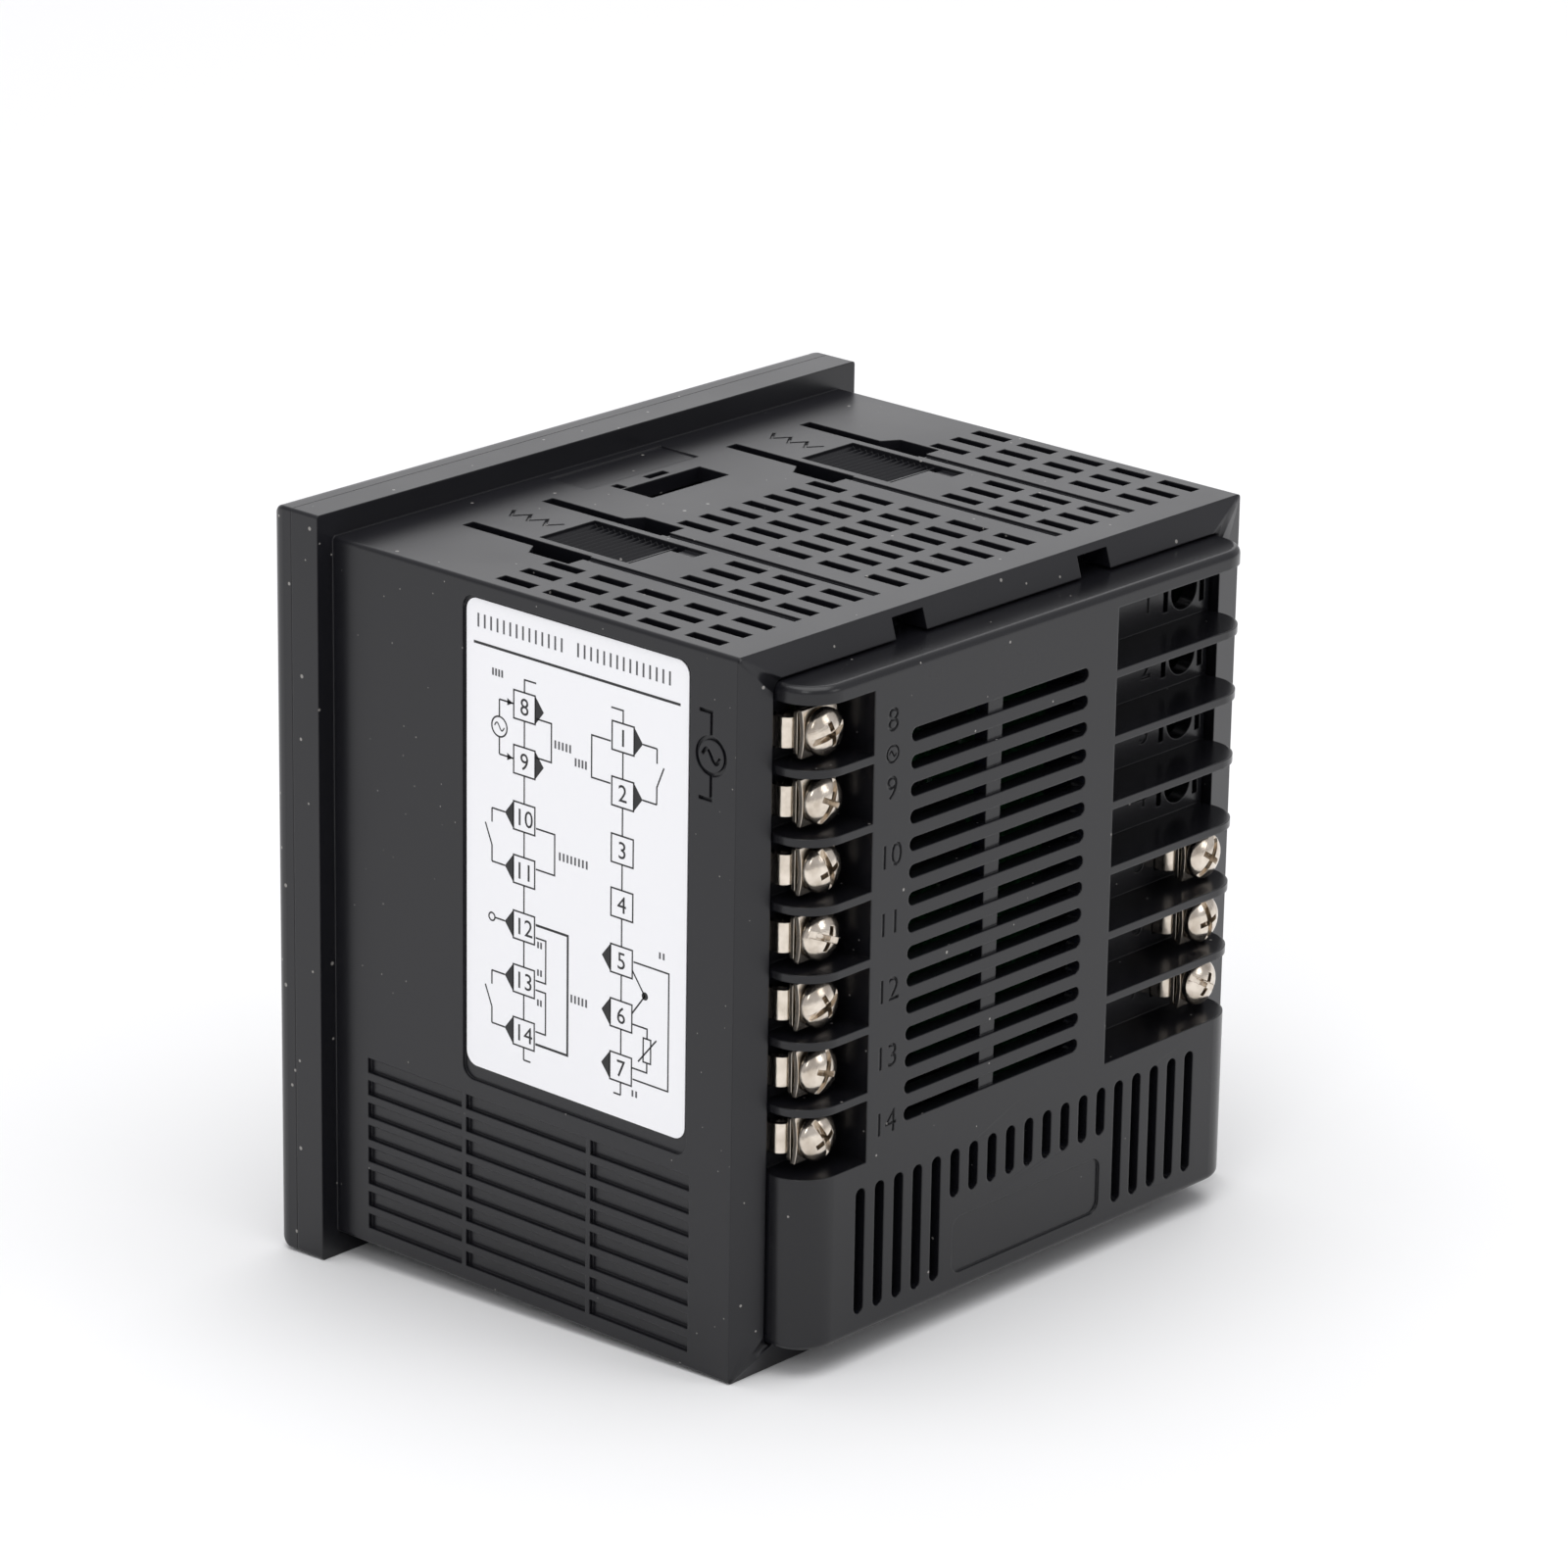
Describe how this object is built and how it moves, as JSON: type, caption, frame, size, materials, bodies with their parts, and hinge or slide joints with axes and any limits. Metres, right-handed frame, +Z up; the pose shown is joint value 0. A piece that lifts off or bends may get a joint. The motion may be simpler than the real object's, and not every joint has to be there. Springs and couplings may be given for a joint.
{
  "type": "panel-mount temperature controller",
  "caption": "Square panel-mount temperature controller with a vented moulded case, screw terminals behind and a draw-out front unit with display and keys.",
  "frame": {"origin": "centre of the flange's back face, the plane that seats on the panel", "axes": "+Y to the rear, out of the flange's back face towards the terminals; +Z up; the display faces -Y"},
  "size_m": [0.096, 0.081, 0.096],
  "materials": {
    "black_case_plastic": "fine moulded texture, black flame-retardant ABS",
    "black_base_plastic": "smooth moulded black plastic, a little glossier than the case",
    "black_bezel_plastic": "fine moulded texture, black",
    "white_label": "smooth white printed label",
    "printed_film": "dark matte printed film",
    "smoked_window": "smoked clear plastic",
    "green_laminate": "green solder resist on laminate",
    "display_plastic": "dark grey display module with pale segments",
    "lamp_plastic": "tinted lamp",
    "switch_plastic": "black switch",
    "core_steel": "varnished laminations",
    "coil_tape": "yellow tape",
    "relay_plastic": "blue relay housing",
    "capacitor_sleeve": "shrunk sleeve",
    "chip_plastic": "moulded chip",
    "key_plastic": "dark grey silicone key",
    "nickel_plate": "bright nickel-plated sheet",
    "nickel_screw": "bright nickel-plated steel"
  },
  "bodies": {
    "housing": {"case_shell": "black_case_plastic", "rating_label": "white_label", "terminal_base": "black_base_plastic", "terminal_8": "nickel_plate", "terminal_9": "nickel_plate", "terminal_10": "nickel_plate", "terminal_11": "nickel_plate", "terminal_12": "nickel_plate", "terminal_13": "nickel_plate", "terminal_14": "nickel_plate", "terminal_5": "nickel_plate", "terminal_6": "nickel_plate", "terminal_7": "nickel_plate"},
    "draw_out_unit": {"front_frame": "black_bezel_plastic", "front_film": "printed_film", "front_window": "smoked_window", "display_board": "green_laminate", "pv_display": "display_plastic", "sv_display": "display_plastic", "indicator_lamps": "lamp_plastic", "key_switches": "switch_plastic", "power_board": "green_laminate", "input_board": "green_laminate", "board_spacer": "black_case_plastic", "transformer_core": "core_steel", "transformer_coil": "coil_tape", "output_relay": "relay_plastic", "alarm_relay": "relay_plastic", "capacitors": "capacitor_sleeve", "control_chips": "chip_plastic"},
    "key_set": {"key_set": "key_plastic"},
    "key_shift": {"key_shift": "key_plastic"},
    "key_down": {"key_down": "key_plastic"},
    "key_up": {"key_up": "key_plastic"},
    "washers_8": {"clamp_washers_8": "nickel_plate"},
    "screw_8": {"terminal_screw_8": "nickel_screw"},
    "washers_9": {"clamp_washers_9": "nickel_plate"},
    "screw_9": {"terminal_screw_9": "nickel_screw"},
    "washers_10": {"clamp_washers_10": "nickel_plate"},
    "screw_10": {"terminal_screw_10": "nickel_screw"},
    "washers_11": {"clamp_washers_11": "nickel_plate"},
    "screw_11": {"terminal_screw_11": "nickel_screw"},
    "washers_12": {"clamp_washers_12": "nickel_plate"},
    "screw_12": {"terminal_screw_12": "nickel_screw"},
    "washers_13": {"clamp_washers_13": "nickel_plate"},
    "screw_13": {"terminal_screw_13": "nickel_screw"},
    "washers_14": {"clamp_washers_14": "nickel_plate"},
    "screw_14": {"terminal_screw_14": "nickel_screw"},
    "washers_5": {"clamp_washers_5": "nickel_plate"},
    "screw_5": {"terminal_screw_5": "nickel_screw"},
    "washers_6": {"clamp_washers_6": "nickel_plate"},
    "screw_6": {"terminal_screw_6": "nickel_screw"},
    "washers_7": {"clamp_washers_7": "nickel_plate"},
    "screw_7": {"terminal_screw_7": "nickel_screw"}
  },
  "joints": [
    {"name": "unit_slide", "type": "slide", "parent": "housing", "child": "draw_out_unit", "axis": [0, -1, 0], "range_m": [0, 0.064]},
    {"name": "key_set_press", "type": "slide", "parent": "draw_out_unit", "child": "key_set", "axis": [0, 1, 0], "range_m": [0, 0.0005], "stiffness_N_per_m": 1500, "springref_m": -0.0005},
    {"name": "key_shift_press", "type": "slide", "parent": "draw_out_unit", "child": "key_shift", "axis": [0, 1, 0], "range_m": [0, 0.0005], "stiffness_N_per_m": 1500, "springref_m": -0.0005},
    {"name": "key_down_press", "type": "slide", "parent": "draw_out_unit", "child": "key_down", "axis": [0, 1, 0], "range_m": [0, 0.0005], "stiffness_N_per_m": 1500, "springref_m": -0.0005},
    {"name": "key_up_press", "type": "slide", "parent": "draw_out_unit", "child": "key_up", "axis": [0, 1, 0], "range_m": [0, 0.0005], "stiffness_N_per_m": 1500, "springref_m": -0.0005},
    {"name": "screw_8_lift", "type": "slide", "parent": "housing", "child": "washers_8", "axis": [0, 1, 0], "range_m": [0, 0.0025]},
    {"name": "screw_8_turn", "type": "hinge", "parent": "washers_8", "child": "screw_8", "pos_m": [0.0353, 0.07, 0.03483], "axis": [0, 1, 0], "range_deg": [0, 1800]},
    {"name": "screw_9_lift", "type": "slide", "parent": "housing", "child": "washers_9", "axis": [0, 1, 0], "range_m": [0, 0.0025]},
    {"name": "screw_9_turn", "type": "hinge", "parent": "washers_9", "child": "screw_9", "pos_m": [0.0353, 0.07, 0.0265], "axis": [0, 1, 0], "range_deg": [0, 1800]},
    {"name": "screw_10_lift", "type": "slide", "parent": "housing", "child": "washers_10", "axis": [0, 1, 0], "range_m": [0, 0.0025]},
    {"name": "screw_10_turn", "type": "hinge", "parent": "washers_10", "child": "screw_10", "pos_m": [0.0353, 0.07, 0.01817], "axis": [0, 1, 0], "range_deg": [0, 1800]},
    {"name": "screw_11_lift", "type": "slide", "parent": "housing", "child": "washers_11", "axis": [0, 1, 0], "range_m": [0, 0.0025]},
    {"name": "screw_11_turn", "type": "hinge", "parent": "washers_11", "child": "screw_11", "pos_m": [0.0353, 0.07, 0.00984], "axis": [0, 1, 0], "range_deg": [0, 1800]},
    {"name": "screw_12_lift", "type": "slide", "parent": "housing", "child": "washers_12", "axis": [0, 1, 0], "range_m": [0, 0.0025]},
    {"name": "screw_12_turn", "type": "hinge", "parent": "washers_12", "child": "screw_12", "pos_m": [0.0353, 0.07, 0.00151], "axis": [0, 1, 0], "range_deg": [0, 1800]},
    {"name": "screw_13_lift", "type": "slide", "parent": "housing", "child": "washers_13", "axis": [0, 1, 0], "range_m": [0, 0.0025]},
    {"name": "screw_13_turn", "type": "hinge", "parent": "washers_13", "child": "screw_13", "pos_m": [0.0353, 0.07, -0.00682], "axis": [0, 1, 0], "range_deg": [0, 1800]},
    {"name": "screw_14_lift", "type": "slide", "parent": "housing", "child": "washers_14", "axis": [0, 1, 0], "range_m": [0, 0.0025]},
    {"name": "screw_14_turn", "type": "hinge", "parent": "washers_14", "child": "screw_14", "pos_m": [0.0353, 0.07, -0.01515], "axis": [0, 1, 0], "range_deg": [0, 1800]},
    {"name": "screw_5_lift", "type": "slide", "parent": "housing", "child": "washers_5", "axis": [0, 1, 0], "range_m": [0, 0.0025]},
    {"name": "screw_5_turn", "type": "hinge", "parent": "washers_5", "child": "screw_5", "pos_m": [-0.0353, 0.07, 0.00151], "axis": [0, 1, 0], "range_deg": [0, 1800]},
    {"name": "screw_6_lift", "type": "slide", "parent": "housing", "child": "washers_6", "axis": [0, 1, 0], "range_m": [0, 0.0025]},
    {"name": "screw_6_turn", "type": "hinge", "parent": "washers_6", "child": "screw_6", "pos_m": [-0.0353, 0.07, -0.00682], "axis": [0, 1, 0], "range_deg": [0, 1800]},
    {"name": "screw_7_lift", "type": "slide", "parent": "housing", "child": "washers_7", "axis": [0, 1, 0], "range_m": [0, 0.0025]},
    {"name": "screw_7_turn", "type": "hinge", "parent": "washers_7", "child": "screw_7", "pos_m": [-0.0353, 0.07, -0.01515], "axis": [0, 1, 0], "range_deg": [0, 1800]}
  ],
  "couplings": [
    {"joint": "screw_8_turn", "follows": "screw_8_lift", "rad_per_m": 12566},
    {"joint": "screw_9_turn", "follows": "screw_9_lift", "rad_per_m": 12566},
    {"joint": "screw_10_turn", "follows": "screw_10_lift", "rad_per_m": 12566},
    {"joint": "screw_11_turn", "follows": "screw_11_lift", "rad_per_m": 12566},
    {"joint": "screw_12_turn", "follows": "screw_12_lift", "rad_per_m": 12566},
    {"joint": "screw_13_turn", "follows": "screw_13_lift", "rad_per_m": 12566},
    {"joint": "screw_14_turn", "follows": "screw_14_lift", "rad_per_m": 12566},
    {"joint": "screw_5_turn", "follows": "screw_5_lift", "rad_per_m": 12566},
    {"joint": "screw_6_turn", "follows": "screw_6_lift", "rad_per_m": 12566},
    {"joint": "screw_7_turn", "follows": "screw_7_lift", "rad_per_m": 12566}
  ]
}
